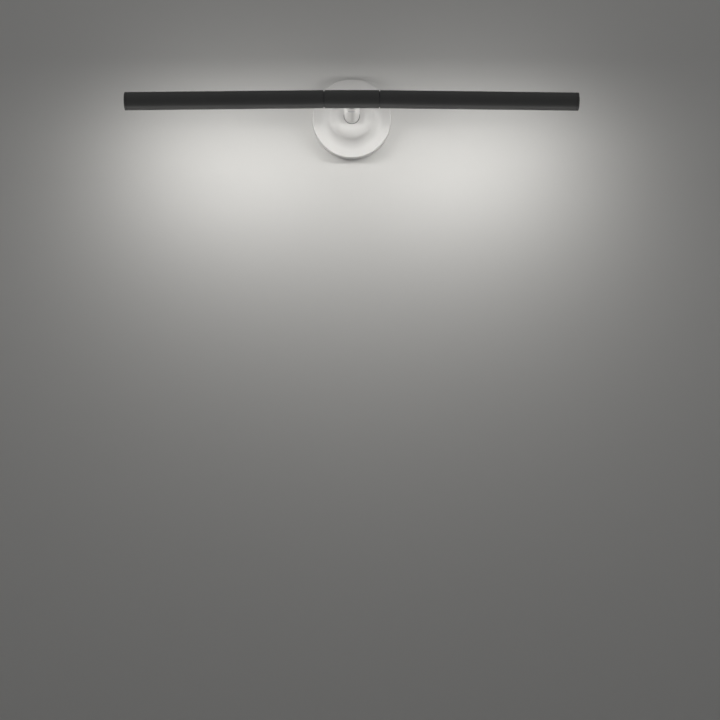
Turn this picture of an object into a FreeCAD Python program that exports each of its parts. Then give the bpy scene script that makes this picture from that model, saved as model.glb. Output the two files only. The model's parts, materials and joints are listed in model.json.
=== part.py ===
import FreeCAD, Part
import math
import os
from FreeCAD import Placement, Rotation, Vector

# Sign light for a wall: a round base with the driver inside, a stem, and a bar of three pieces in one
# line. The short middle piece sits on the stem. The two long heads swivel on it and light the wall below.
#
# Frame in millimetres: +X along the bar to the right, +Y into the wall, +Z up. The origin is the centre
# of the base's back face, on the wall.
#
# Two local frames are used below:
#   wall frame  x right, y up, z out of the wall along the stem
#   head frame  z along the head away from the middle piece, y up, x towards the wall. The lens looks
#               along -y until the head is turned to its aim.

# Base
BASE_DIA = 140.0
RIM_DEPTH = 30.0           # wall to the flat ring on the canopy's front
RING_WIDTH = 13.5          # flat ring, from the canopy's edge to the foot of the bell
BOSS_HEIGHT = 26.0         # flat ring to the plateau under the stem
PLATEAU_RADIUS = 21.0
CANOPY_WALL = 2.0
CANOPY_EDGE = 1.5          # rounding of the canopy's front edge
GASKET_THICKNESS = 2.0
GASKET_INSET = 0.1
PLATE_THICKNESS = 2.0
PLATE_FLANGE = 14.0        # height of the plate's turned-up rim
CANOPY_SCREW_HEIGHT = 8.0  # canopy screws, out from the wall
WALL_SCREW_SPACING = 60.0
WALL_SLOT_RADIUS = 2.25
WALL_SLOT_LENGTH = 10.0

# Inside the base
INSIDE_CLEARANCE = 1.5     # between the plate's rim and what sits inside it
GROMMET_X = -22.0
GROMMET_Y = -26.0
GROMMET_BORE_RADIUS = 4.5
GROMMET_WALL = 2.5
GROMMET_FLANGE = 2.0       # how far the flange reaches past the hole, and its thickness
EARTH_SCREW_ANGLE = 205.0
EARTH_SCREW_INSET = 2.0    # between the earth screw's head and the room inside the rim
DRIVER_LENGTH = 72.0
DRIVER_LOW = 12.0          # lower face of the driver, above the stem's axis
DRIVER_HEADROOM = 3.0      # between the driver's lid and the canopy
DRIVER_WALL = 1.5
DRIVER_LID = 2.0
DRIVER_LIP = 2.0
DRIVER_EAR = 9.0
DRIVER_POST = 3.0          # height and radius of the posts under the board
BOARD_THICKNESS = 1.6
BOARD_MARGIN = 0.5         # between the driver's board and its case
BOARD_HEADROOM = 1.0       # between the transformer and the lid's lip
TRANSFORMER_LENGTH = 18.0
TRANSFORMER_WIDTH = 16.0
CHOKE_SIZE = 10.0
CAPACITOR_RADIUS = 4.5
COMPONENT_SPACING = 21.0   # choke and capacitor, from the middle of the board
TERMINAL_X = 9.0
TERMINAL_PITCH = 10.0
TERMINAL_POLES = 3
TERMINAL_HEIGHT = 18.0
TERMINAL_DEPTH = 14.0
TERMINAL_WIRE_DEPTH = 5.0
TERMINAL_WIRE_RADIUS = 1.6
TERMINAL_WELL_RADIUS = 2.4
TERMINAL_SCREW_LENGTH = 4.0
TERMINAL_SCREW_SLOT = 0.8
TERMINAL_SCREW_SLOT_DEPTH = 1.0
MAINS_LEAD_RADIUS = 1.2
OUTPUT_LEAD_RADIUS = 2.2
OUTPUT_LEAD_BEND = 10.0

# Stem
STEM_DIA = 26.9
STEM_WALL = 2.0
STEM_LENGTH = 161.0
SEAL_THICKNESS = 1.2
SEAL_MARGIN = 0.6          # how far the root seal shows round the stem
ANCHOR_DEPTH = 24.0        # anchor inside the stem
ANCHOR_TAIL_RADIUS = 8.0
ANCHOR_BORE_RADIUS = 4.5
ANCHOR_TAIL_SPARE = 2.0    # thread that shows past the nut
ANCHOR_NUT_FLATS = 24.0
ANCHOR_NUT_THICKNESS = 6.0
ANCHOR_WASHER_RADIUS = 15.0
ANCHOR_WASHER_THICKNESS = 1.5
BUSH_LENGTH = 44.0
SPIGOT_RADIUS = 8.0
SPIGOT_BORE_RADIUS = 4.5
CLIP_THICKNESS = 1.2
CLIP_BITE = 0.8            # depth of the clip's groove
CLIP_REACH = 2.0           # clip outside the spigot
CLIP_OPENING = 6.0
SPIGOT_TAIL = 3.6          # spigot behind the bush
COLLAR_WASHER_THICKNESS = 1.0
COLLAR_LENGTH = 15.8       # washer to the bar's axis
SPIGOT_STEP = 2.0          # wall left between the spigot's end and the bar's bore

# Lock screw under the stem, which holds the bar level
LOCK_SETBACK = 31.0        # from the stem's front end
LOCK_HEAD_RADIUS = 7.5
LOCK_HEAD_THICKNESS = 2.5
LOCK_SEAT_DEPTH = 1.5      # flat cut into the stem for the head
LOCK_RADIUS = 2.5
LOCK_TIP_RADIUS = 1.8
LOCK_COIN_SLOT = 1.6
LOCK_COIN_DEPTH = 1.2
LOCK_GROOVE_DEPTH = 2.0    # groove in the spigot for the screw's tip
LEVEL_TRAVEL = 90.0        # turn of the bar each way

# Bar
BAR_LENGTH = 750.0
TUBE_DIA = 30.0
SEAM_SPACING = 91.8        # between the middles of the two seams
SEAM_GAP = 1.5
HEAD_DROOP = 0.64          # each head hangs this many degrees out of line
HEAD_AIM = 60.0            # lens below the horizontal, towards the wall
HUB_EDGE = 0.4
HUB_CORE_RADIUS = 6.2      # bore through the middle piece, for the splice and the leads
SPLICE_RADIUS = 5.5
SPLICE_LENGTH = 18.0

# Swivels between the middle piece and the heads
PIVOT_RADIUS = 8.0
PIVOT_DEPTH = 28.0
PIVOT_ROOM = 2.0           # bore left behind the pivot's end
PIVOT_SHOULDER = 5.0       # shoulder outside the journal
PIVOT_SHANK_RADIUS = 6.0
PIVOT_BORE_RADIUS = 3.5
PIVOT_WASHER_THICKNESS = 0.75
PIVOT_NUT_THICKNESS = 5.0
PIVOT_NUT_NOTCH = 3.0
PIVOT_SPARE = 1.0
SHOULDER_RECESS = 1.0
RECESS_CLEARANCE = 0.6     # radial, round the shoulder
SWIVEL_LOCK_SETBACK = 14.0
SWIVEL_LOCK_RADIUS = 2.0
SWIVEL_TIP_RADIUS = 1.4
SWIVEL_GROOVE_DEPTH = 1.4
SWIVEL_TRAVEL = 60.0       # turn of each head each way

# Heads
TUBE_WALL = 2.0
SLOT_WIDTH = 13.0
CHANNEL_DEPTH = 4.4        # tube's surface to the web that carries the LED board
WEB_THICKNESS = 1.6
PORT_RADIUS = 1.35         # screw ports along the tube
PORT_WALL = 1.0
PORT_INSET = 0.3           # between a port and the inside of the tube's wall
CAP_FLANGE = 3.0
CAP_PLUG = 8.0
CAP_SCREW_ANGLE = 45.0     # from the back of the tube, towards the wall
END_CAP_THICKNESS = 3.5
END_CAP_PLUG = 6.0
END_CAP_EDGE = 0.6
END_GASKET_THICKNESS = 0.6
LENS_CROWN = 1.75
LENS_LEG = 1.1
LED_BOARD_WIDTH = 10.0
LED_BOARD_THICKNESS = 1.2
LED_BOARD_INSET = 4.0
LED_SIZE = 3.0
LED_HEIGHT = 0.7
LED_PITCH = 9.0
LED_BOARD_SCREWS = 4
HEAD_LEAD_RADIUS = 1.3
HEAD_LEAD_BEND = 6.0
HEAD_LEAD_RUN = 2.0        # from the pivot's end to the start of the bend
HEAD_LEAD_ROOM = 1.0       # radial, round the lead in the web

# Clearances
SCREW_CLEARANCE = 0.05     # radial, round a screw in its thread
HOLE_CLEARANCE = 0.2       # radial, round a screw or tail in a plain hole
FIT_CLEARANCE = 0.05       # radial, for a piece held fast in a bore
RUNNING_CLEARANCE = 0.05   # radial, for a shaft that turns
SLIDE_CLEARANCE = 0.3      # between the canopy and the plate's rim
SEAT_CLEARANCE = 0.1       # round a lens, plug, lid or gasket in its seat
TIP_CLEARANCE = 0.3        # between a lock screw's tip and its groove
STOP_MARGIN = 2.0          # degrees of groove left at each end of the travel
TIP_NECK = 0.2             # between a lock screw's thread and the shaft its tip holds
CUT_MARGIN = 1.0           # how far a cutting shape reaches past what it cuts

SAME_PLACE = 1e-6          # lengths closer than this are equal

# Screws
CANOPY_SCREW = (2.0, 3.6, 7.0)        # countersunk: radius, head radius, length
CAP_SCREW = (1.5, 2.7, 6.0)
END_SCREW = (1.3, 2.4, 12.0)
PLATE_SCREW = (1.5, 2.8, 2.0)         # pan head: radius, head radius, head height
EARTH_SCREW = (2.0, 3.8, 2.6)
BOARD_SCREW = (1.0, 1.8, 0.9)
BOARD_SCREW_LENGTH = 4.3
CANOPY_SCREW_SUNK = 0.3               # head below the surface
CAP_SCREW_SUNK = 0.4
SOCKET_FLATS = 1.2                    # socket in a head, as a share of the shank's radius
SUNK_SOCKET_DEPTH = 0.8               # as a share of the head's height
PAN_SOCKET_DEPTH = 0.6

# Places that follow from the sizes
BASE_RADIUS = BASE_DIA / 2
PLATE_RADIUS = BASE_RADIUS - CANOPY_WALL - SLIDE_CLEARANCE
PLATE_INSIDE = PLATE_RADIUS - PLATE_THICKNESS
PLATEAU = RIM_DEPTH + BOSS_HEIGHT
DRIVER_FRONT = RIM_DEPTH - CANOPY_WALL - DRIVER_HEADROOM
DRIVER_TOP = math.sqrt(PLATE_INSIDE ** 2 - (DRIVER_LENGTH / 2) ** 2) - INSIDE_CLEARANCE
TERMINAL_END = TERMINAL_X + TERMINAL_PITCH * TERMINAL_POLES
TERMINAL_LOW = INSIDE_CLEARANCE - math.sqrt(PLATE_INSIDE ** 2 - TERMINAL_END ** 2)
TERMINAL_TOP = TERMINAL_LOW + TERMINAL_HEIGHT
STEM_RADIUS = STEM_DIA / 2
STEM_INSIDE = STEM_RADIUS - STEM_WALL
STEM_ROOT = PLATEAU + SEAL_THICKNESS
STEM_FRONT = STEM_ROOT + STEM_LENGTH
BUSH_REAR = STEM_FRONT - BUSH_LENGTH
LOCK_PLACE = STEM_FRONT - LOCK_SETBACK
LOCK_SEAT = STEM_RADIUS - LOCK_SEAT_DEPTH
LOCK_GROOVE_FLOOR = SPIGOT_RADIUS - LOCK_GROOVE_DEPTH
BAR_AXIS = STEM_FRONT + COLLAR_WASHER_THICKNESS + COLLAR_LENGTH
TUBE_RADIUS = TUBE_DIA / 2
TUBE_INSIDE = TUBE_RADIUS - TUBE_WALL
SEAM = SEAM_SPACING / 2
HUB_LENGTH = SEAM_SPACING - SEAM_GAP
HUB_BORE_RADIUS = PIVOT_RADIUS + RUNNING_CLEARANCE
SPIGOT_FRONT = BAR_AXIS - HUB_CORE_RADIUS - SPIGOT_STEP
SPLICE_DROP = HUB_CORE_RADIUS - SPLICE_RADIUS - SLIDE_CLEARANCE
SHOULDER_RADIUS = PIVOT_RADIUS + PIVOT_SHOULDER
RECESS_FLOOR = -SEAM_GAP / 2 - SHOULDER_RECESS
SWIVEL_GROOVE_FLOOR = PIVOT_RADIUS - SWIVEL_GROOVE_DEPTH
HEAD_START = SEAM_GAP / 2
HEAD_END = BAR_LENGTH / 2 - SEAM
TUBE_START = HEAD_START + CAP_FLANGE
TUBE_END = HEAD_END - END_CAP_THICKNESS - END_GASKET_THICKNESS
PIVOT_NUT_START = TUBE_START + CAP_PLUG
PIVOT_END = PIVOT_NUT_START + PIVOT_NUT_THICKNESS + PIVOT_SPARE
WEB_FACE = TUBE_RADIUS - CHANNEL_DEPTH
WEB_BACK = WEB_FACE - WEB_THICKNESS
PORT_PLACE = TUBE_INSIDE - PORT_RADIUS - PORT_INSET
BOARD_FACE = WEB_FACE + LED_BOARD_THICKNESS
LED_BOARD_START = TUBE_START + LED_BOARD_INSET
LED_BOARD_END = TUBE_END - LED_BOARD_INSET
HEAD_LEAD_TURN = PIVOT_END + HEAD_LEAD_RUN + HEAD_LEAD_BEND

# Where the frames lie
WALL_FRAME = Placement(Vector(0, 0, 0), Rotation(Vector(1, 0, 0), 90))
HEAD_AXES = Rotation(Vector(0, 1, 0), Vector(0, 0, 1), Vector(1, 0, 0), "ZXY")
DROOP = Rotation(Vector(0, 1, 0), HEAD_DROOP)
SEAM_FRAME = Placement(Vector(SEAM, -BAR_AXIS, 0), DROOP.multiply(HEAD_AXES))
AIM_FRAME = SEAM_FRAME.multiply(Placement(Vector(0, 0, 0), Rotation(Vector(0, 0, 1), 90 - HEAD_AIM)))


# Plain shapes

def moved(shape, placement):
    copy = shape.copy()
    copy.Placement = placement.multiply(copy.Placement)
    return copy


def pointed(shape, place, direction):
    """The shape with its own +z turned along direction and its origin at place."""
    return moved(shape, Placement(place, Rotation(Vector(0, 0, 1), direction)))


def rod(radius, start, end):
    return Part.makeCylinder(radius, end - start, Vector(0, 0, start))


def ring(outer, inner, start, end):
    return rod(outer, start, end).cut(rod(inner, start, end))


def block(x0, x1, y0, y1, z0, z1):
    return Part.makeBox(x1 - x0, y1 - y0, z1 - z0, Vector(x0, y0, z0))


def hexagon(flats, start, end):
    corner = flats / math.sqrt(3)
    angles = [math.radians(60 * turn) for turn in range(7)]
    corners = [Vector(corner * math.cos(angle), corner * math.sin(angle), start) for angle in angles]
    return Part.Face(Part.makePolygon(corners)).extrude(Vector(0, 0, end - start))


def slot(radius, length, start, end):
    """A slot along x with round ends, centred on the z axis."""
    half = length / 2 - radius
    tool = block(-half, half, -radius, radius, start, end)
    for x in (-half, half):
        tool = tool.fuse(rod(radius, start, end).translated(Vector(x, 0, 0)))
    return tool.removeSplitter()


def groove_sector(outer, floor, start, end, middle, half_angle):
    """Part of a ring, half_angle to each side of the direction middle, in degrees from x."""
    def wedge(radius):
        return Part.makeCylinder(radius, end - start, Vector(0, 0, start), Vector(0, 0, 1), 2 * half_angle)
    sector = wedge(outer).cut(rod(floor, start, end))
    return moved(sector, Placement(Vector(0, 0, 0), Rotation(Vector(0, 0, 1), middle - half_angle)))


def lead(points, radius, bend):
    """A round lead along straight runs, with an arc of radius bend at each corner."""
    edges = []
    start = points[0]
    for before, corner, after in zip(points, points[1:], points[2:]):
        back = (before - corner).normalize()
        ahead = (after - corner).normalize()
        reach = bend / math.tan(back.getAngle(ahead) / 2)
        first = corner + back * reach
        last = corner + ahead * reach
        towards_centre = (back + ahead).normalize()
        centre = corner + towards_centre * math.hypot(bend, reach)
        edges.append(Part.LineSegment(start, first).toShape())
        edges.append(Part.Arc(first, centre - towards_centre * bend, last).toShape())
        start = last
    edges.append(Part.LineSegment(start, points[-1]).toShape())
    profile = Part.Wire([Part.Circle(points[0], points[1] - points[0], radius).toShape()])
    return Part.Wire(edges).makePipeShell([profile], True, False)


def softened(shape, size, wanted):
    """The shape with a round on each edge that wanted picks."""
    return shape.makeFillet(size, [edge for edge in shape.Edges if wanted(edge)])


def rim_at(*heights):
    """Picks the outermost round edges of a bar piece at the given heights."""
    def wanted(edge):
        box = edge.BoundBox
        flat = any(max(abs(box.ZMin - height), abs(box.ZMax - height)) < SAME_PLACE for height in heights)
        return flat and abs(box.XMax - TUBE_RADIUS) < SAME_PLACE
    return wanted


# Fasteners, with the head at z = 0 and the shank along +z

def countersunk_screw(radius, head_radius, length):
    depth = head_radius - radius
    screw = Part.makeCone(head_radius, radius, depth).fuse(rod(radius, 0, length))
    return screw.cut(hexagon(SOCKET_FLATS * radius, 0, SUNK_SOCKET_DEPTH * depth))


def countersunk_hole(radius, head_radius, sunk, length):
    """The hole for that screw, open for the length sunk above the head."""
    wide = head_radius + HOLE_CLEARANCE
    narrow = radius + SCREW_CLEARANCE
    cone = Part.makeCone(wide, narrow, wide - narrow)
    return cone.fuse(rod(narrow, 0, length)).fuse(rod(wide, -sunk, 0))


def pan_screw(radius, head_radius, head_height, length):
    screw = rod(head_radius, -head_height, 0).fuse(rod(radius, 0, length))
    floor = (PAN_SOCKET_DEPTH - 1) * head_height
    return screw.cut(hexagon(SOCKET_FLATS * radius, -head_height, floor))


def grub_screw(radius, length, tip_radius, tip_length):
    body = rod(radius, 0, length - tip_length).fuse(rod(tip_radius, length - tip_length, length))
    return body.cut(hexagon(radius, 0, radius))


# Base, in the wall frame

def profile_arc(centre, radius, first, last):
    """An arc in the half plane of a turned piece; angles in radians from the z axis."""
    def point(angle):
        return Vector(centre[0] + radius * math.sin(angle), 0, centre[1] + radius * math.cos(angle))
    return Part.Arc(point(first), point((first + last) / 2), point(last)).toShape()


def canopy():
    foot = BASE_RADIUS - RING_WIDTH
    turn = 2 * math.atan(BOSS_HEIGHT / (foot - PLATEAU_RADIUS))
    bend = (foot - PLATEAU_RADIUS) / (2 * math.sin(turn))
    hole = ANCHOR_TAIL_RADIUS + HOLE_CLEARANCE
    inside = BASE_RADIUS - CANOPY_WALL
    corner = (BASE_RADIUS - CANOPY_EDGE, RIM_DEPTH - CANOPY_EDGE)
    foot_centre = (foot, RIM_DEPTH + bend)
    top_centre = (PLATEAU_RADIUS, PLATEAU - bend)
    arcs = [
        profile_arc(corner, CANOPY_EDGE, math.pi / 2, 0),
        profile_arc(foot_centre, bend, math.pi, math.pi + turn),
        profile_arc(top_centre, bend, turn, 0),
        profile_arc(top_centre, bend - CANOPY_WALL, 0, turn),
        profile_arc(foot_centre, bend + CANOPY_WALL, math.pi + turn, math.pi),
    ]
    ends = [(arc.firstVertex().Point, arc.lastVertex().Point) for arc in arcs]
    runs = [
        [Vector(inside, 0, GASKET_THICKNESS), Vector(BASE_RADIUS, 0, GASKET_THICKNESS), ends[0][0]],
        [ends[0][1], ends[1][0]],
        [ends[2][1], Vector(hole, 0, PLATEAU), Vector(hole, 0, PLATEAU - CANOPY_WALL), ends[3][0]],
        [ends[4][1], Vector(inside, 0, RIM_DEPTH - CANOPY_WALL), Vector(inside, 0, GASKET_THICKNESS)],
    ]
    edges = list(arcs)
    for run in runs:
        edges.extend(Part.makePolygon(run).Edges)
    outline = Part.Wire(Part.__sortEdges__(edges))
    shell = Part.Face(outline).revolve(Vector(0, 0, 0), Vector(0, 0, 1), 360)
    radius, head_radius, length = CANOPY_SCREW
    screw_hole = countersunk_hole(radius, head_radius, CANOPY_WALL, length)
    for place, inward in canopy_screw_places():
        shell = shell.cut(pointed(screw_hole, place, inward))
    return shell


def canopy_screw_places():
    reach = BASE_RADIUS - CANOPY_SCREW_SUNK
    return [(Vector(side * reach, 0, CANOPY_SCREW_HEIGHT), Vector(-side, 0, 0)) for side in (1, -1)]


def canopy_screws():
    screw = countersunk_screw(*CANOPY_SCREW)
    return [pointed(screw, place, inward) for place, inward in canopy_screw_places()]


def wall_gasket():
    return ring(BASE_RADIUS - GASKET_INSET, BASE_RADIUS - CANOPY_WALL + GASKET_INSET, 0, GASKET_THICKNESS)


def driver_screw_places():
    reach = (DRIVER_LENGTH + DRIVER_EAR) / 2
    height = DRIVER_LOW + DRIVER_EAR / 2
    return [Vector(side * reach, height, PLATE_THICKNESS + DRIVER_WALL) for side in (-1, 1)]


def earth_screw_place():
    radius, head_radius, head_height = EARTH_SCREW
    reach = PLATE_INSIDE - INSIDE_CLEARANCE - head_radius - EARTH_SCREW_INSET
    angle = math.radians(EARTH_SCREW_ANGLE)
    return Vector(reach * math.cos(angle), reach * math.sin(angle), PLATE_THICKNESS)


def wall_plate():
    plate = rod(PLATE_RADIUS, 0, PLATE_THICKNESS)
    plate = plate.fuse(ring(PLATE_RADIUS, PLATE_INSIDE, 0, PLATE_FLANGE))
    inlet = rod(GROMMET_BORE_RADIUS + GROMMET_WALL, 0, PLATE_THICKNESS)
    holes = [inlet.translated(Vector(GROMMET_X, GROMMET_Y, 0))]
    for side in (-1, 1):
        place = Vector(side * WALL_SCREW_SPACING / 2, 0, 0)
        holes.append(slot(WALL_SLOT_RADIUS, WALL_SLOT_LENGTH, 0, PLATE_THICKNESS).translated(place))
    screw_radius, head_radius, screw_length = CANOPY_SCREW
    thread = rod(screw_radius + SCREW_CLEARANCE, 0, screw_length + CUT_MARGIN)
    for place, inward in canopy_screw_places():
        holes.append(pointed(thread, place, inward))
    screws = [(place, PLATE_SCREW[0]) for place in driver_screw_places()]
    screws.append((earth_screw_place(), EARTH_SCREW[0]))
    for place, radius in screws:
        thread = rod(radius + SCREW_CLEARANCE, 0, PLATE_THICKNESS)
        holes.append(thread.translated(Vector(place.x, place.y, 0)))
    return plate.cut(Part.makeCompound(holes)).removeSplitter()


def cable_grommet():
    neck = GROMMET_BORE_RADIUS + GROMMET_WALL - FIT_CLEARANCE
    front = PLATE_THICKNESS + GROMMET_FLANGE
    body = rod(neck, 0, PLATE_THICKNESS).fuse(rod(neck + GROMMET_FLANGE, PLATE_THICKNESS, front))
    return body.cut(rod(GROMMET_BORE_RADIUS, 0, front)).translated(Vector(GROMMET_X, GROMMET_Y, 0))


def earth_screw():
    return pointed(pan_screw(*EARTH_SCREW, PLATE_THICKNESS), earth_screw_place(), Vector(0, 0, -1))


def driver_inside(inset, start, end):
    half = DRIVER_LENGTH / 2 - DRIVER_WALL - inset
    low = DRIVER_LOW + DRIVER_WALL + inset
    high = DRIVER_TOP - DRIVER_WALL - inset
    return block(-half, half, low, high, start, end)


def driver_case():
    half = DRIVER_LENGTH / 2
    floor = PLATE_THICKNESS + DRIVER_WALL
    top = DRIVER_FRONT - DRIVER_LID
    case = block(-half, half, DRIVER_LOW, DRIVER_TOP, PLATE_THICKNESS, top)
    case = case.cut(driver_inside(0, floor, top))
    reach = half + DRIVER_EAR
    ears = block(-reach, reach, DRIVER_LOW, DRIVER_LOW + DRIVER_EAR, PLATE_THICKNESS, floor)
    case = case.fuse(ears)
    for x in (-1, 1):
        for y in (DRIVER_LOW + DRIVER_WALL + DRIVER_POST, DRIVER_TOP - DRIVER_WALL - DRIVER_POST):
            place = Vector(x * (half - DRIVER_WALL - DRIVER_POST), y, floor)
            case = case.fuse(rod(DRIVER_POST, 0, DRIVER_POST).translated(place))
    for place in driver_screw_places():
        hole = rod(PLATE_SCREW[0] + HOLE_CLEARANCE, PLATE_THICKNESS, floor)
        case = case.cut(hole.translated(Vector(place.x, place.y, 0)))
    return case.removeSplitter()


def driver_lid():
    half = DRIVER_LENGTH / 2
    seat = DRIVER_FRONT - DRIVER_LID
    lip = driver_inside(SEAT_CLEARANCE, seat - DRIVER_LIP, seat)
    lip = lip.cut(driver_inside(SEAT_CLEARANCE + DRIVER_WALL, seat - DRIVER_LIP, seat))
    return block(-half, half, DRIVER_LOW, DRIVER_TOP, seat, DRIVER_FRONT).fuse(lip).removeSplitter()


def driver_board():
    under = PLATE_THICKNESS + DRIVER_WALL + DRIVER_POST
    face = under + BOARD_THICKNESS
    top = DRIVER_FRONT - DRIVER_LID - DRIVER_LIP - BOARD_HEADROOM
    middle = Vector(0, (DRIVER_LOW + DRIVER_TOP) / 2, 0)
    spacing = Vector(COMPONENT_SPACING, 0, 0)
    half_length = TRANSFORMER_LENGTH / 2
    half_width = TRANSFORMER_WIDTH / 2
    half_choke = CHOKE_SIZE / 2
    board = driver_inside(BOARD_MARGIN, under, face)
    transformer = block(-half_length, half_length, -half_width, half_width, face, top).translated(middle)
    choke = block(-half_choke, half_choke, -half_choke, half_choke, face, face + CHOKE_SIZE)
    capacitor = rod(CAPACITOR_RADIUS, face, top)
    components = [transformer, choke.translated(middle - spacing), capacitor.translated(middle + spacing)]
    return board.fuse(components).removeSplitter()


def driver_screws():
    length = DRIVER_WALL + PLATE_THICKNESS
    screw = pan_screw(*PLATE_SCREW, length)
    return [pointed(screw, place, Vector(0, 0, -1)) for place in driver_screw_places()]


def terminal_poles():
    return [TERMINAL_X + TERMINAL_PITCH * (pole + 0.5) for pole in range(TERMINAL_POLES)]


def terminal_block():
    front = PLATE_THICKNESS + TERMINAL_DEPTH
    middle = (TERMINAL_LOW + TERMINAL_TOP) / 2
    body = block(TERMINAL_X, TERMINAL_END, TERMINAL_LOW, TERMINAL_TOP, PLATE_THICKNESS, front)
    way = PLATE_THICKNESS + TERMINAL_WIRE_DEPTH
    for x in terminal_poles():
        wire = rod(TERMINAL_WIRE_RADIUS, 0, TERMINAL_HEIGHT)
        body = body.cut(pointed(wire, Vector(x, TERMINAL_LOW, way), Vector(0, 1, 0)))
        well = rod(TERMINAL_WELL_RADIUS, way + TERMINAL_WIRE_RADIUS, front)
        body = body.cut(well.translated(Vector(x, middle, 0)))
    return body


def terminal_screws():
    seat = PLATE_THICKNESS + TERMINAL_WIRE_DEPTH + TERMINAL_WIRE_RADIUS
    middle = (TERMINAL_LOW + TERMINAL_TOP) / 2
    radius = TERMINAL_WELL_RADIUS - HOLE_CLEARANCE
    screw = rod(radius, 0, TERMINAL_SCREW_LENGTH)
    half = TERMINAL_SCREW_SLOT / 2
    floor = TERMINAL_SCREW_LENGTH - TERMINAL_SCREW_SLOT_DEPTH
    screw = screw.cut(block(-radius, radius, -half, half, floor, TERMINAL_SCREW_LENGTH))
    return [screw.translated(Vector(x, middle, seat)) for x in terminal_poles()]


def mains_leads():
    way = PLATE_THICKNESS + TERMINAL_WIRE_DEPTH
    end = TERMINAL_TOP - TERMINAL_HEIGHT / 4
    wire = rod(MAINS_LEAD_RADIUS, 0, DRIVER_LOW - end)
    return [pointed(wire, Vector(x, end, way), Vector(0, 1, 0)) for x in terminal_poles()[:2]]


def output_lead():
    leaves = PLATE_THICKNESS + OUTPUT_LEAD_BEND
    corner = Vector(0, 0, leaves)
    end = Vector(0, 0, BAR_AXIS - SPLICE_RADIUS - TIP_CLEARANCE)
    return lead([Vector(0, DRIVER_LOW, leaves), corner, end], OUTPUT_LEAD_RADIUS, OUTPUT_LEAD_BEND)


# Stem, in the wall frame

def stem_seal():
    return ring(STEM_RADIUS + SEAL_MARGIN, ANCHOR_TAIL_RADIUS + HOLE_CLEARANCE, PLATEAU, STEM_ROOT)


def stem_tube():
    tube = ring(STEM_RADIUS, STEM_INSIDE, STEM_ROOT, STEM_FRONT)
    seat = rod(LOCK_HEAD_RADIUS + SLIDE_CLEARANCE, LOCK_SEAT, STEM_DIA)
    return tube.cut(below_stem(seat)).cut(below_stem(lock_hole()))


def below_stem(shape):
    """A piece of the lock screw, built along the way out of the stem, put in its place."""
    return pointed(shape, Vector(0, 0, LOCK_PLACE), Vector(0, -1, 0))


def lock_hole():
    return rod(LOCK_RADIUS + SCREW_CLEARANCE, 0, STEM_DIA)


def level_lock_screw():
    face = LOCK_SEAT + LOCK_HEAD_THICKNESS
    neck = SPIGOT_RADIUS + TIP_NECK
    half = LOCK_COIN_SLOT / 2
    head = rod(LOCK_HEAD_RADIUS, LOCK_SEAT, face)
    coin = block(-LOCK_HEAD_RADIUS, LOCK_HEAD_RADIUS, -half, half, face - LOCK_COIN_DEPTH, face)
    shank = rod(LOCK_RADIUS, neck, LOCK_SEAT)
    tip = rod(LOCK_TIP_RADIUS, LOCK_GROOVE_FLOOR + TIP_CLEARANCE, neck)
    return below_stem(head.cut(coin).fuse([shank, tip]))


def stem_anchor():
    nut_seat = PLATEAU - CANOPY_WALL - ANCHOR_WASHER_THICKNESS
    tail_end = nut_seat - ANCHOR_NUT_THICKNESS - ANCHOR_TAIL_SPARE
    body = rod(STEM_INSIDE - FIT_CLEARANCE, STEM_ROOT, STEM_ROOT + ANCHOR_DEPTH)
    body = body.fuse(rod(ANCHOR_TAIL_RADIUS, tail_end, STEM_ROOT))
    return body.cut(rod(ANCHOR_BORE_RADIUS, tail_end, STEM_ROOT + ANCHOR_DEPTH))


def anchor_washer():
    seat = PLATEAU - CANOPY_WALL
    hole = ANCHOR_TAIL_RADIUS + HOLE_CLEARANCE
    return ring(ANCHOR_WASHER_RADIUS, hole, seat - ANCHOR_WASHER_THICKNESS, seat)


def anchor_nut():
    seat = PLATEAU - CANOPY_WALL - ANCHOR_WASHER_THICKNESS
    nut = hexagon(ANCHOR_NUT_FLATS, seat - ANCHOR_NUT_THICKNESS, seat)
    return nut.cut(rod(ANCHOR_TAIL_RADIUS + SCREW_CLEARANCE, seat - ANCHOR_NUT_THICKNESS, seat))


def stem_bush():
    bush = ring(STEM_INSIDE - FIT_CLEARANCE, SPIGOT_RADIUS + RUNNING_CLEARANCE, BUSH_REAR, STEM_FRONT)
    return bush.cut(below_stem(lock_hole()))


# Middle piece and what turns with it on the stem, in the wall frame

def stop_half_angle(travel, tip_radius, floor):
    """Half the groove's angle, so that its ends stop a tip at the end of the travel."""
    return travel + math.degrees(math.asin(tip_radius / floor)) + STOP_MARGIN


def hub_spigot():
    spigot = ring(SPIGOT_RADIUS, SPIGOT_BORE_RADIUS, BUSH_REAR - SPIGOT_TAIL, SPIGOT_FRONT)
    half = LOCK_TIP_RADIUS + TIP_CLEARANCE
    angle = stop_half_angle(LEVEL_TRAVEL, LOCK_TIP_RADIUS, LOCK_GROOVE_FLOOR)
    outer = SPIGOT_RADIUS + CUT_MARGIN
    groove = groove_sector(outer, LOCK_GROOVE_FLOOR, LOCK_PLACE - half, LOCK_PLACE + half, -90, angle)
    clip_groove = ring(outer, SPIGOT_RADIUS - CLIP_BITE, BUSH_REAR - CLIP_THICKNESS, BUSH_REAR)
    return spigot.cut(groove).cut(clip_groove)


def spigot_clip():
    start = BUSH_REAR - CLIP_THICKNESS
    inner = SPIGOT_RADIUS - CLIP_BITE + FIT_CLEARANCE
    clip = ring(SPIGOT_RADIUS + CLIP_REACH, inner, start, BUSH_REAR)
    half = CLIP_OPENING / 2
    return clip.cut(block(-half, half, 0, 2 * SPIGOT_RADIUS, start, BUSH_REAR))


def collar_washer():
    return ring(STEM_RADIUS - SLIDE_CLEARANCE, SPIGOT_RADIUS + HOLE_CLEARANCE, STEM_FRONT,
                STEM_FRONT + COLLAR_WASHER_THICKNESS)


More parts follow.
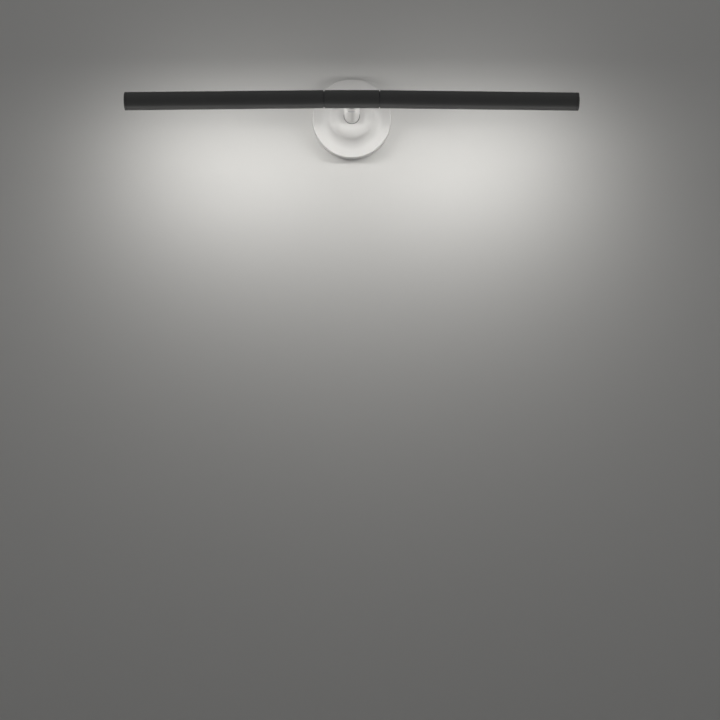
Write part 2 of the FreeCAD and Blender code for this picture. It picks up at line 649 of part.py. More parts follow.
def hub_block():
    half = HUB_LENGTH / 2
    bar = softened(rod(TUBE_RADIUS, -half, half), HUB_EDGE, rim_at(half, -half))
    bar = pointed(bar, Vector(0, 0, BAR_AXIS), Vector(1, 0, 0))
    hub = bar.fuse(rod(STEM_RADIUS, STEM_FRONT + COLLAR_WASHER_THICKNESS, BAR_AXIS))
    hub = hub.cut(rod(SPIGOT_RADIUS + FIT_CLEARANCE, STEM_FRONT, SPIGOT_FRONT))
    hub = hub.cut(rod(SPIGOT_BORE_RADIUS, SPIGOT_FRONT, BAR_AXIS))
    hub = hub.cut(pointed(rod(HUB_CORE_RADIUS, -half, half), Vector(0, 0, BAR_AXIS), Vector(1, 0, 0)))
    hub = moved(hub, WALL_FRAME)
    bore = rod(HUB_BORE_RADIUS, -PIVOT_DEPTH - PIVOT_ROOM, 0)
    recess = rod(SHOULDER_RADIUS + RECESS_CLEARANCE, RECESS_FLOOR, SEAM_GAP)
    screw = along_wall(rod(SWIVEL_LOCK_RADIUS + SCREW_CLEARANCE, 0, TUBE_DIA))
    for tool in (bore, recess, screw):
        hub = hub.cut(moved(tool, SEAM_FRAME)).cut(mirrored(moved(tool, SEAM_FRAME)))
    return hub


def along_wall(shape):
    """A piece of a swivel's lock screw, built along its way out, put in its place in the head frame."""
    return pointed(shape, Vector(0, 0, -SWIVEL_LOCK_SETBACK), Vector(1, 0, 0))


def swivel_lock_screws():
    reach = SWIVEL_GROOVE_FLOOR + TIP_CLEARANCE
    length = TUBE_RADIUS - SLIDE_CLEARANCE - reach
    tip = PIVOT_RADIUS + TIP_NECK - reach
    screw = grub_screw(SWIVEL_LOCK_RADIUS, length, SWIVEL_TIP_RADIUS, tip)
    turned = pointed(screw, Vector(0, 0, TUBE_RADIUS - SLIDE_CLEARANCE), Vector(0, 0, -1))
    right = moved(along_wall(turned), SEAM_FRAME)
    return [right, mirrored(right)]


def hub_splice():
    half = SPLICE_LENGTH / 2
    return pointed(rod(SPLICE_RADIUS, -half, half), Vector(0, -SPLICE_DROP, BAR_AXIS), Vector(1, 0, 0))


# Heads, in the head frame; the right head is built and the left one mirrors it

def mirrored(shape):
    return shape.mirror(Vector(0, 0, 0), Vector(1, 0, 0))


def pivot():
    shoulder_start = RECESS_FLOOR + PIVOT_WASHER_THICKNESS
    shaft = rod(PIVOT_RADIUS, -PIVOT_DEPTH, shoulder_start)
    shoulder = rod(SHOULDER_RADIUS, shoulder_start, HEAD_START)
    shank = rod(PIVOT_SHANK_RADIUS, HEAD_START, PIVOT_END)
    shaft = shaft.fuse([shoulder, shank])
    shaft = shaft.cut(rod(PIVOT_BORE_RADIUS, -PIVOT_DEPTH, PIVOT_END))
    half = SWIVEL_TIP_RADIUS + TIP_CLEARANCE
    middle = -SWIVEL_LOCK_SETBACK
    angle = stop_half_angle(SWIVEL_TRAVEL, SWIVEL_TIP_RADIUS, SWIVEL_GROOVE_FLOOR)
    outer = PIVOT_RADIUS + CUT_MARGIN
    return shaft.cut(groove_sector(outer, SWIVEL_GROOVE_FLOOR, middle - half, middle + half, 0, angle))


def pivot_washer():
    hole = PIVOT_RADIUS + HOLE_CLEARANCE
    return ring(SHOULDER_RADIUS, hole, RECESS_FLOOR, RECESS_FLOOR + PIVOT_WASHER_THICKNESS)


def pivot_nut():
    outer = WEB_BACK - SLIDE_CLEARANCE
    face = PIVOT_NUT_START + PIVOT_NUT_THICKNESS
    half = PIVOT_NUT_NOTCH / 2
    nut = ring(outer, PIVOT_SHANK_RADIUS + SCREW_CLEARANCE, PIVOT_NUT_START, face)
    notch = block(-outer, outer, -half, half, face - PIVOT_NUT_THICKNESS / 2, face)
    return nut.cut(notch.cut(rod(PIVOT_SHANK_RADIUS + CUT_MARGIN, PIVOT_NUT_START, face)))


def chamber(clearance, start, end):
    """The space behind the web inside the tube, less a clearance."""
    room = rod(TUBE_INSIDE - clearance, start, end)
    room = room.cut(block(-TUBE_DIA, TUBE_DIA, -TUBE_DIA, clearance - WEB_BACK, start, end))
    for side in (-1, 1):
        port = rod(PORT_RADIUS + PORT_WALL + clearance, start, end)
        room = room.cut(port.translated(Vector(side * PORT_PLACE, 0, 0)))
    return room


def across_cap(shape):
    """A piece built along its way into the tube, put where the inner cap's screw goes."""
    angle = math.radians(CAP_SCREW_ANGLE)
    outward = Vector(math.sin(angle), math.cos(angle), 0)
    place = outward * (TUBE_RADIUS - CAP_SCREW_SUNK) + Vector(0, 0, TUBE_START + CAP_PLUG / 2)
    return pointed(shape, place, outward * -1)


def cap_screw_hole():
    radius, head_radius, length = CAP_SCREW
    return across_cap(countersunk_hole(radius, head_radius, TUBE_WALL, length + TIP_CLEARANCE))


def cap_screw():
    return across_cap(countersunk_screw(*CAP_SCREW))


def inner_cap():
    cap = rod(TUBE_RADIUS, HEAD_START, TUBE_START)
    cap = softened(cap, HUB_EDGE, rim_at(HEAD_START))
    cap = cap.fuse(chamber(SEAT_CLEARANCE, TUBE_START, TUBE_START + CAP_PLUG))
    cap = cap.cut(rod(PIVOT_SHANK_RADIUS + SCREW_CLEARANCE, HEAD_START, PIVOT_END))
    return cap.cut(cap_screw_hole())


def board_screw_places():
    """Between the LEDs, spread along the board."""
    gaps = len(led_places()) - 1
    picks = [round((i + 0.5) * gaps / LED_BOARD_SCREWS) for i in range(LED_BOARD_SCREWS)]
    return [led_places()[0] + (pick + 0.5) * LED_PITCH for pick in picks]


def into_board(shape, z):
    """A piece built along its way into the tube, put on the LED board's face at z."""
    return pointed(shape, Vector(0, -BOARD_FACE, z), Vector(0, 1, 0))


def board_screw_holes(clearance):
    hole = rod(BOARD_SCREW[0] + clearance, 0, BOARD_SCREW_LENGTH)
    return [into_board(hole, z) for z in board_screw_places()]


def head_tube():
    tube = rod(TUBE_RADIUS, TUBE_START, TUBE_END).cut(chamber(0, TUBE_START, TUBE_END))
    half = SLOT_WIDTH / 2
    tube = tube.cut(block(-half, half, -TUBE_DIA, -WEB_FACE, TUBE_START, TUBE_END))
    for side in (-1, 1):
        port = rod(PORT_RADIUS, TUBE_START, TUBE_END)
        tube = tube.cut(port.translated(Vector(side * PORT_PLACE, 0, 0)))
    holes = board_screw_holes(SCREW_CLEARANCE)
    holes.append(into_board(rod(HEAD_LEAD_RADIUS + HEAD_LEAD_ROOM, 0, CHANNEL_DEPTH), HEAD_LEAD_TURN))
    return tube.cut(Part.makeCompound(holes)).cut(cap_screw_hole())


def lens():
    half = SLOT_WIDTH / 2 - SEAT_CLEARANCE
    start = TUBE_START + SEAT_CLEARANCE
    end = TUBE_END - SEAT_CLEARANCE
    outer = TUBE_RADIUS - SEAT_CLEARANCE
    body = rod(outer, start, end).common(block(-half, half, -TUBE_DIA, -WEB_FACE, start, end))
    return body.cut(block(LENS_LEG - half, half - LENS_LEG, LENS_CROWN - outer, 0, start, end))


def led_places():
    first = LED_BOARD_START + LED_PITCH
    count = int((LED_BOARD_END - LED_PITCH - first) / LED_PITCH) + 1
    return [first + i * LED_PITCH for i in range(count)]


def led_board():
    half = LED_BOARD_WIDTH / 2
    board = block(-half, half, -BOARD_FACE, -WEB_FACE, LED_BOARD_START, LED_BOARD_END)
    return board.cut(Part.makeCompound(board_screw_holes(HOLE_CLEARANCE)))


def led_chips():
    half = LED_SIZE / 2
    chip = block(-half, half, -BOARD_FACE - LED_HEIGHT, -BOARD_FACE, -half, half)
    return [chip.translated(Vector(0, 0, z)) for z in led_places()]


def board_screws():
    screw = pan_screw(*BOARD_SCREW, BOARD_SCREW_LENGTH)
    return [into_board(screw, z) for z in board_screw_places()]


def head_lead():
    start = SPLICE_LENGTH / 2 + TIP_CLEARANCE - SEAM
    points = [Vector(0, 0, start), Vector(0, 0, HEAD_LEAD_TURN), Vector(0, -WEB_FACE, HEAD_LEAD_TURN)]
    return lead(points, HEAD_LEAD_RADIUS, HEAD_LEAD_BEND)


def end_gasket():
    end = TUBE_END + END_GASKET_THICKNESS
    gasket = rod(TUBE_RADIUS - SEAT_CLEARANCE, TUBE_END, end).cut(chamber(0, TUBE_END, end))
    for side in (-1, 1):
        hole = rod(END_SCREW[0] + HOLE_CLEARANCE, TUBE_END, end)
        gasket = gasket.cut(hole.translated(Vector(side * PORT_PLACE, 0, 0)))
    return gasket


def end_cap():
    seat = TUBE_END + END_GASKET_THICKNESS
    cap = softened(rod(TUBE_RADIUS, seat, HEAD_END), END_CAP_EDGE, rim_at(HEAD_END))
    cap = cap.fuse(chamber(SEAT_CLEARANCE, TUBE_END - END_CAP_PLUG, seat))
    radius, head_radius, length = END_SCREW
    hole = countersunk_hole(radius, head_radius, CUT_MARGIN, length)
    for side in (-1, 1):
        cap = cap.cut(pointed(hole, Vector(side * PORT_PLACE, 0, HEAD_END), Vector(0, 0, -1)))
    return cap


def end_screws():
    screw = countersunk_screw(*END_SCREW)
    places = [Vector(side * PORT_PLACE, 0, HEAD_END) for side in (-1, 1)]
    return [pointed(screw, place, Vector(0, 0, -1)) for place in places]


# What each frame holds, and the files

WALL_PIECES = (
    wall_gasket, wall_plate, canopy, canopy_screws, cable_grommet, earth_screw,
    driver_case, driver_lid, driver_board, driver_screws,
    terminal_block, terminal_screws, mains_leads, output_lead,
    stem_seal, stem_tube, level_lock_screw, stem_anchor, anchor_washer, anchor_nut, stem_bush,
    hub_spigot, spigot_clip, collar_washer, hub_splice)
PLACED_PIECES = (hub_block, swivel_lock_screws)
SEAM_PIECES = (pivot, pivot_washer, pivot_nut)
AIMED_PIECES = (
    inner_cap, cap_screw, head_tube, lens, led_board, led_chips, board_screws, head_lead,
    end_gasket, end_cap, end_screws)


def save(node, solids):
    shape = Part.makeCompound(solids) if len(solids) > 1 else solids[0]
    shape.exportStep("parts/" + node + ".step")
    state = "valid" if shape.isValid() else "NOT VALID"
    print(node, len(shape.Solids), "solids", round(shape.Volume, 1), "mm3", state)


def solids_of(piece):
    made = piece()
    return made if isinstance(made, list) else [made]


def main():
    os.makedirs("parts", exist_ok=True)
    for piece in WALL_PIECES:
        save(piece.__name__, [moved(solid, WALL_FRAME) for solid in solids_of(piece)])
    for piece in PLACED_PIECES:
        save(piece.__name__, solids_of(piece))
    for frame, pieces in ((SEAM_FRAME, SEAM_PIECES), (AIM_FRAME, AIMED_PIECES)):
        for piece in pieces:
            right = [moved(solid, frame) for solid in solids_of(piece)]
            save("right_" + piece.__name__, right)
            save("left_" + piece.__name__, [mirrored(solid) for solid in right])
    print("bar axis", BAR_AXIS, "out of the wall; seams at x", SEAM)


main()
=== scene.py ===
# %% [markdown]
# # A sign light on a wall
#
# The solid pieces of this sign light come from its construction model, which is loaded first and stays where
# it is. This lesson dresses it. Every finish is mixed from nodes, the pieces with edges that catch the light
# are modelled again, and a camera looks up at the light from a little below.

# %% Load the construction model
import json
import math

import bmesh
import bpy
from mathutils import Matrix, Vector


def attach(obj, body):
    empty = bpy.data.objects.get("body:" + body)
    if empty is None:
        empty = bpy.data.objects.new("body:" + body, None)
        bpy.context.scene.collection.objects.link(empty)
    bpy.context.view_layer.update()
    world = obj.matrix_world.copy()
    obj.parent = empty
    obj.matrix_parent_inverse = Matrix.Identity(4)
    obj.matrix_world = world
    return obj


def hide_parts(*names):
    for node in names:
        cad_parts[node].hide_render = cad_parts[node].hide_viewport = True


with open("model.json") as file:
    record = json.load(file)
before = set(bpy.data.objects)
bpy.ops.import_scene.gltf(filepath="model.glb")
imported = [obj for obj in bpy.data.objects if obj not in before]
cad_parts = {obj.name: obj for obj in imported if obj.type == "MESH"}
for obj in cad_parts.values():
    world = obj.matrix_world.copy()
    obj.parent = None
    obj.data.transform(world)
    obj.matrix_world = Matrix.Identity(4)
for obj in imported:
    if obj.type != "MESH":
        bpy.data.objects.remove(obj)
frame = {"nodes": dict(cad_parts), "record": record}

MM = 0.001
scene = bpy.context.scene
scene.view_settings.view_transform = "Standard"
nodes = frame["nodes"]
slots = {piece["node"]: piece["material_slot"] for piece in frame["record"]["subparts"]}
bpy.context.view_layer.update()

# %% [markdown]
# ## The camera
#
# The light hangs above the viewer, so the camera stands 43 cm lower than the bar, in front of the wall. It
# isn't tilted up, because a level camera keeps upright lines upright. The bar then comes near the top of the
# picture, with the wall that it lights under it.

# %% Camera
VIEW_PLACE = (0, -2.832, -0.4312)
VIEW_TURN = math.radians(0.30)
SENSOR_WIDTH = 36
FOCAL_LENGTH = 78.53

camera_data = bpy.data.cameras.new("camera")
camera_data.sensor_width = SENSOR_WIDTH
camera_data.lens = FOCAL_LENGTH
camera = bpy.data.objects.new("camera", camera_data)
scene.collection.objects.link(camera)
scene.camera = camera
camera.location = VIEW_PLACE
camera.rotation_euler = (math.radians(90), 0, -VIEW_TURN)
print("camera at", VIEW_PLACE)

# %% [markdown]
# ## Small helpers for nodes
#
# A finish is a Principled shader with patterns in front of it. One could click such a tree together, but in
# code a few helpers keep it short: one adds a node, and the others wrap the nodes that every finish uses.


# %% Node helpers
def feed(tree, value, socket):
    """Links a socket into another one, or sets a plain value on it."""
    if isinstance(value, bpy.types.NodeSocket):
        tree.links.new(value, socket)
    else:
        socket.default_value = value


def add_node(tree, kind, inputs, **settings):
    node = tree.nodes.new(kind)
    for name, value in settings.items():
        setattr(node, name, value)
    for key, value in inputs.items():
        feed(tree, value, node.inputs[key])
    return node


def calculate(tree, operation, first, second):
    return add_node(tree, "ShaderNodeMath", {0: first, 1: second}, operation=operation).outputs[0]


def spread(tree, value, low, high, to_low=0.0, to_high=1.0):
    """Maps the range low to high onto to_low to to_high, and holds it there outside."""
    inputs = {"Value": value, "From Min": low, "From Max": high, "To Min": to_low, "To Max": to_high}
    return add_node(tree, "ShaderNodeMapRange", inputs).outputs[0]


def noise(tree, place, scale, detail=2.0, roughness=0.5):
    inputs = {"Vector": place, "Scale": scale, "Detail": detail, "Roughness": roughness}
    return add_node(tree, "ShaderNodeTexNoise", inputs).outputs[0]


def object_place(tree):
    return tree.nodes.new("ShaderNodeTexCoord").outputs["Object"]


print("node helpers ready")

# %% [markdown]
# ## Effects that several finishes share
#
# Powder coat is sprayed on dry and melted. That leaves a soft orange peel about a millimetre across, a finer
# grain, and patches that hands have rubbed smoother. Dust settles on whatever looks up. Turned and stamped
# metal keeps lines from its tool and dulls in patches. Each effect is a node group that puts out masks and
# heights, so that every finish can take as much of it as it needs.


# %% Helpers for groups
def start_group(name, inputs, outputs):
    group = bpy.data.node_groups.new(name, "ShaderNodeTree")
    for label, value in inputs.items():
        socket = group.interface.new_socket(label, in_out="INPUT", socket_type="NodeSocketFloat")
        socket.default_value = value
    for label in outputs:
        group.interface.new_socket(label, in_out="OUTPUT", socket_type="NodeSocketFloat")
    return group, group.nodes.new("NodeGroupInput").outputs, group.nodes.new("NodeGroupOutput").inputs


def place_group(tree, group, inputs):
    return add_node(tree, "ShaderNodeGroup", inputs, node_tree=group).outputs


print("group helpers ready")

# %% Orange peel, grain and rubbed patches
PEEL_SHARE = 0.7
GRAIN_SHARE = 0.3

powder_grain, given, made = start_group(
    "powder_grain", {"Peel Size": 900.0, "Grain Size": 4200.0}, ["Height", "Patches"])
place = object_place(powder_grain)
peel = noise(powder_grain, place, given["Peel Size"], detail=1.0)
grain = noise(powder_grain, place, given["Grain Size"], detail=2.0, roughness=0.6)
peel_height = calculate(powder_grain, "MULTIPLY", peel, PEEL_SHARE)
grain_height = calculate(powder_grain, "MULTIPLY", grain, GRAIN_SHARE)
feed(powder_grain, calculate(powder_grain, "ADD", peel_height, grain_height), made["Height"])
rubbing = noise(powder_grain, place, scale=22.0, detail=5.0, roughness=0.62)
feed(powder_grain, spread(powder_grain, rubbing, low=0.35, high=0.68), made["Patches"])
print("group", powder_grain.name)

# %% Settled dust
settled_dust, given, made = start_group("settled_dust", {"Amount": 0.5}, ["Dust"])
coordinates = settled_dust.nodes.new("ShaderNodeTexCoord").outputs
upward = add_node(settled_dust, "ShaderNodeSeparateXYZ", {"Vector": coordinates["Normal"]}).outputs["Z"]
facing_up = spread(settled_dust, upward, low=0.35, high=1.0)
speckle = noise(settled_dust, coordinates["Object"], scale=160.0, detail=6.0, roughness=0.7)
flecks = spread(settled_dust, speckle, low=0.4, high=0.72)
lying = calculate(settled_dust, "MULTIPLY", facing_up, flecks)
feed(settled_dust, calculate(settled_dust, "MULTIPLY", lying, given["Amount"]), made["Dust"])
print("group", settled_dust.name)

# %% Tool marks and tarnish
tool_marks, given, made = start_group("tool_marks", {"Line Size": 1500.0}, ["Lines", "Tarnish"])
place = object_place(tool_marks)
lines = add_node(
    tool_marks, "ShaderNodeTexWave",
    {"Vector": place, "Scale": given["Line Size"], "Distortion": 3.0, "Detail": 2.0, "Detail Scale": 0.6},
    wave_type="BANDS", bands_direction="DIAGONAL").outputs["Fac"]
feed(tool_marks, lines, made["Lines"])
stain = noise(tool_marks, place, scale=90.0, detail=4.0, roughness=0.6)
feed(tool_marks, spread(tool_marks, stain, low=0.35, high=0.7), made["Tarnish"])
print("group", tool_marks.name)

# %% [markdown]
# ## The two coats of paint
#
# Base and stem are a satin white, a little warm. The bar is black with a low gloss: its front stays dark,
# and its lower edge picks up the bright wall. Both are powder coats, so one function makes them, with the
# colour, the dust and the gloss as its measures.


# %% Helpers for finishes
def blend(tree, mask, first, second):
    """The first colour where the mask is 0, the second where it is 1."""
    return add_node(tree, "ShaderNodeMix", {0: mask, 6: first, 7: second}, data_type="RGBA").outputs[2]


def start_material(name, roughness, metallic=0.0, specular=0.5):
    material = bpy.data.materials.new("finish_" + name)
    material.use_nodes = True
    tree = material.node_tree
    shader = tree.nodes["Principled BSDF"]
    shader.inputs["Roughness"].default_value = roughness
    shader.inputs["Metallic"].default_value = metallic
    shader.inputs["Specular IOR Level"].default_value = specular
    return material, tree, shader


def add_bump(tree, shader, height, strength, depth):
    bump = add_node(tree, "ShaderNodeBump", {"Strength": strength, "Distance": depth, "Height": height})
    tree.links.new(bump.outputs["Normal"], shader.inputs["Normal"])


print("finish helpers ready")

# %% White and black powder coat
GLOSS_CHANGE = 0.025
DUST_DULLNESS = 0.35
PEEL_DEPTH = 0.12 * MM


def powder_coat(name, colour, rubbed, dust_colour, dust_amount, roughness, specular, bump):
    material, tree, shader = start_material(name, roughness, specular=specular)
    grain = place_group(tree, powder_grain, {})
    dust = place_group(tree, settled_dust, {"Amount": dust_amount})
    coat = blend(tree, grain["Patches"], colour, rubbed)
    feed(tree, blend(tree, dust["Dust"], coat, dust_colour), shader.inputs["Base Color"])
    gloss = spread(tree, grain["Patches"], 0.0, 1.0, roughness + GLOSS_CHANGE, roughness - GLOSS_CHANGE)
    dulled = calculate(tree, "MULTIPLY", dust["Dust"], DUST_DULLNESS)
    feed(tree, calculate(tree, "ADD", gloss, dulled), shader.inputs["Roughness"])
    add_bump(tree, shader, grain["Height"], bump, PEEL_DEPTH)
    return material


white_paint = powder_coat(
    "white_paint", (0.72, 0.712, 0.70, 1), (0.735, 0.727, 0.715, 1), (0.55, 0.53, 0.49, 1),
    dust_amount=0.25, roughness=0.42, specular=0.45, bump=0.6)
black_paint = powder_coat(
    "black_paint", (0.036, 0.036, 0.0365, 1), (0.040, 0.040, 0.0405, 1), (0.10, 0.095, 0.09, 1),
    dust_amount=0.22, roughness=0.42, specular=0.7, bump=0.5)
print("coats", white_paint.name, black_paint.name)

# %% [markdown]
# ## Bare and plated metal
#
# The stem's bush is bare aluminium. The wall plate, the fittings inside the stem, the cap of the lock screw
# and the screws in the base and on the LED boards are zinc plated. The bar's other screws and its pivots are
# blackened steel, and the earth screw and the pivot nuts are brass. They differ in colour, in gloss and in
# how fine their lines are, so one function makes them all.

# %% Metals
POLISHED = 0.06
TARNISHED = 0.1
LINE_DEPTH = 0.04 * MM


def metal(name, colour, dull_colour, roughness, line_size, bump):
    material, tree, shader = start_material(name, roughness, metallic=1.0)
    marks = place_group(tree, tool_marks, {"Line Size": line_size})
    feed(tree, blend(tree, marks["Tarnish"], colour, dull_colour), shader.inputs["Base Color"])
    dullness = spread(tree, marks["Tarnish"], 0.0, 1.0, roughness - POLISHED, roughness + TARNISHED)
    feed(tree, dullness, shader.inputs["Roughness"])
    add_bump(tree, shader, marks["Lines"], bump, LINE_DEPTH)
    return material


bare_aluminium = metal(
    "bare_aluminium", (0.72, 0.72, 0.745, 1), (0.6, 0.6, 0.63, 1),
    roughness=0.34, line_size=1500.0, bump=0.25)
plated_steel = metal(
    "plated_steel", (0.6, 0.61, 0.62, 1), (0.46, 0.465, 0.48, 1),
    roughness=0.36, line_size=500.0, bump=0.15)
black_steel = metal(
    "black_steel", (0.088, 0.088, 0.093, 1), (0.07, 0.07, 0.075, 1),
    roughness=0.42, line_size=1800.0, bump=0.2)
brass = metal(
    "brass", (0.72, 0.53, 0.25, 1), (0.5, 0.35, 0.15, 1),
    roughness=0.32, line_size=1500.0, bump=0.2)
print("metals ready")

# %% [markdown]
# ## Rubber and moulded plastic
#
# Seals are black rubber with a pale bloom. The driver and the terminal block are moulded in white, the bar's
# washers and its splice in black, and the leads have a smooth grey sheath. Moulded surfaces are clouded and
# finely grained, and the four differ in how much.

# %% Rubber and plastics
CLEARER = 0.04
CLOUDIER = 0.07
GRAIN_DEPTH = 0.1 * MM


def moulded(name, colour, bloom, roughness, grain_size, bump):
    material, tree, shader = start_material(name, roughness)
    place = object_place(tree)
    haze = noise(tree, place, scale=60.0, detail=5.0, roughness=0.65)
    cloud = spread(tree, haze, low=0.35, high=0.7)
    feed(tree, blend(tree, cloud, colour, bloom), shader.inputs["Base Color"])
    gloss = spread(tree, cloud, 0.0, 1.0, roughness - CLEARER, roughness + CLOUDIER)
    feed(tree, gloss, shader.inputs["Roughness"])
    grain = noise(tree, place, grain_size, detail=3.0, roughness=0.6)
    add_bump(tree, shader, grain, bump, GRAIN_DEPTH)
    return material


black_rubber = moulded(
    "black_rubber", (0.014, 0.014, 0.014, 1), (0.026, 0.026, 0.025, 1),
    roughness=0.72, grain_size=2600.0, bump=0.5)
black_plastic = moulded(
    "black_plastic", (0.02, 0.02, 0.021, 1), (0.027, 0.027, 0.028, 1),
    roughness=0.5, grain_size=3200.0, bump=0.3)
white_plastic = moulded(
    "white_plastic", (0.7, 0.7, 0.68, 1), (0.66, 0.66, 0.63, 1),
    roughness=0.45, grain_size=3200.0, bump=0.3)
lead_sheath = moulded(
    "lead_sheath", (0.26, 0.26, 0.27, 1), (0.22, 0.22, 0.225, 1),
    roughness=0.55, grain_size=3000.0, bump=0.2)
print("plastics ready")

# %% [markdown]
# ## The lit strips
#
# Each head holds a row of LEDs behind an opal strip. Lit, the strip isn't even: over every LED there is a
# soft warm spot. An image could show that, but the spots repeat at the LEDs' own spacing, so a few sums on
# the distance along the bar place them, and the same sums serve both heads.

# %% Opal strip
LED_PITCH = 9.0 * MM
FIRST_LED = 62.65 * MM
STRIP_GLOW = 0.85

opal_plastic, tree, shader = start_material("opal_plastic", roughness=0.36)
place = object_place(tree)
across = add_node(tree, "ShaderNodeSeparateXYZ", {"Vector": place}).outputs["X"]
from_first = calculate(tree, "SUBTRACT", calculate(tree, "ABSOLUTE", across, 0.0), FIRST_LED)
from_nearest = calculate(tree, "PINGPONG", calculate(tree, "DIVIDE", from_first, LED_PITCH), 0.5)
spot = spread(tree, from_nearest, low=0.42, high=0.05)
cloud = noise(tree, place, scale=140.0, detail=3.0)
milky = blend(tree, cloud, (0.84, 0.84, 0.82, 1), (0.88, 0.88, 0.86, 1))
feed(tree, milky, shader.inputs["Base Color"])
glow = blend(tree, spot, (0.56, 0.52, 0.45, 1), (1.0, 0.96, 0.88, 1))
feed(tree, glow, shader.inputs["Emission Color"])
shader.inputs["Emission Strength"].default_value = STRIP_GLOW
grain = noise(tree, place, scale=2600.0, detail=2.0)
add_bump(tree, shader, grain, strength=0.15, depth=GRAIN_DEPTH)
print("a spot every", LED_PITCH / MM, "mm")

# %% [markdown]
# ## Boards and LEDs
#
# Inside, the LEDs are yellow with phosphor, their board is masked white and the driver's board green. Copper
# tracks show through the mask as slightly raised bands, which a brick pattern imitates well enough.

# %% LEDs and boards
SHEEN_CHANGE = 0.08
TRACK_DEPTH = 0.05 * MM


def masked_board(name, mask_colour, track_colour, roughness):
    material, tree, shader = start_material(name, roughness)
    place = object_place(tree)
    pattern = {"Vector": place, "Scale": 160.0, "Mortar Size": 0.03}
    tracks = add_node(tree, "ShaderNodeTexBrick", pattern).outputs["Fac"]
    feed(tree, blend(tree, tracks, mask_colour, track_colour), shader.inputs["Base Color"])
    haze = noise(tree, place, scale=400.0)
    sheen = spread(tree, haze, 0.3, 0.7, roughness - SHEEN_CHANGE, roughness + SHEEN_CHANGE)
    feed(tree, sheen, shader.inputs["Roughness"])
    add_bump(tree, shader, tracks, strength=0.2, depth=TRACK_DEPTH)
    return material


circuit_board = masked_board(
    "circuit_board", (0.03, 0.16, 0.07, 1), (0.06, 0.24, 0.11, 1), roughness=0.4)
led_board = masked_board(
    "led_board", (0.78, 0.78, 0.77, 1), (0.7, 0.69, 0.66, 1), roughness=0.42)
led_phosphor = moulded(
    "led_phosphor", (0.86, 0.66, 0.16, 1), (0.9, 0.74, 0.26, 1),
    roughness=0.3, grain_size=3200.0, bump=0.1)
print("boards", circuit_board.name, led_board.name)

# %% [markdown]
# ## Finishes on the construction pieces
#
# The model's record names a finish for each piece, and the names are the same here, so one loop dresses all
# of them.

# %% Dress the construction pieces
finishes = dict(
    white_paint=white_paint, black_paint=black_paint, bare_aluminium=bare_aluminium,
    plated_steel=plated_steel, black_steel=black_steel, brass=brass, black_rubber=black_rubber,
    black_plastic=black_plastic, white_plastic=white_plastic, lead_sheath=lead_sheath,
    opal_plastic=opal_plastic, led_phosphor=led_phosphor, circuit_board=circuit_board, led_board=led_board)
for node, slot in slots.items():
    mesh = nodes[node].data
    mesh.materials.clear()
    mesh.materials.append(finishes[slot])
print("dressed", len(slots))

# %% [markdown]
# ## Soft edges
#
# No edge on a real piece is perfectly sharp. A coat of paint rounds it, and that fine round is what catches
# the light. The pieces that show such edges are copied here, their triangles are merged back into whole
# faces, and the sharp edges get a narrow bevel. The copy is then shown in place of the construction piece.

# %% Helper for finished pieces
SMOOTH_BELOW = math.radians(32)


def finish_piece(name, shape, body, replaced, slot):
    """Makes a bmesh a piece that rides on a body, hides the node it replaces and takes a finish."""
    mesh = bpy.data.meshes.new(name)
    shape.to_mesh(mesh)
    shape.free()
    mesh.shade_smooth()
    mesh.set_sharp_from_angle(angle=SMOOTH_BELOW)
    mesh.materials.append(finishes[slot])
    piece = bpy.data.objects.new(name, mesh)
    scene.collection.objects.link(piece)
    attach(piece, body)
    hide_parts(replaced)
    return piece


print("smooth below", round(math.degrees(SMOOTH_BELOW)), "degrees")

# %% Copies with soft edges
# Widths of the bevels in millimetres.
SOFT_EDGES = {
    "base": {"stem_tube": 0.35, "canopy_screws": 0.2, "wall_plate": 0.3, "cable_grommet": 0.5},
    "middle": {"swivel_lock_screws": 0.15},
    "left_head": {
        "left_head_tube": 0.25, "left_lens": 0.2, "left_cap_screw": 0.15, "left_end_screws": 0.15},
    "right_head": {
        "right_head_tube": 0.25, "right_lens": 0.2, "right_cap_screw": 0.15, "right_end_screws": 0.15},
}
SHARP = math.radians(40)
FLAT = math.radians(0.2)
MERGE = 0.001 * MM


def even_shading(piece):
    """Keeps broad flat faces flat beside narrow bevels."""
    piece.modifiers.new("even_shading", "WEIGHTED_NORMAL").keep_sharp = True


def soft_copy(node, width):
    shape = bmesh.new()
    shape.from_mesh(nodes[node].data)
    bmesh.ops.remove_doubles(shape, verts=shape.verts, dist=MERGE)
    bmesh.ops.dissolve_limit(shape, angle_limit=FLAT, verts=shape.verts, edges=shape.edges)
    sharp = [edge for edge in shape.edges if edge.is_manifold and edge.calc_face_angle() > SHARP]
    bmesh.ops.bevel(
        shape, geom=sharp, offset=width * MM, offset_type="OFFSET", segments=2, profile=0.5, affect="EDGES",
        clamp_overlap=True, material=-1)
    return shape


for body, widths in SOFT_EDGES.items():
    for node, width in widths.items():
        piece = finish_piece("soft_" + node, soft_copy(node, width), body, node, slots[node])
        even_shading(piece)
        print(piece.name, len(piece.data.polygons), "faces")

# %% [markdown]
# ## Rubber rings
#
# A thin ring seals the root of the stem, and a flat one lies between the base and the wall. Rubber that is
# pressed bulges a little, so both get well rounded edges. The outline of such a ring is four corners. A
# vertex bevel rounds them, and spin sweeps the outline round the stem's axis.


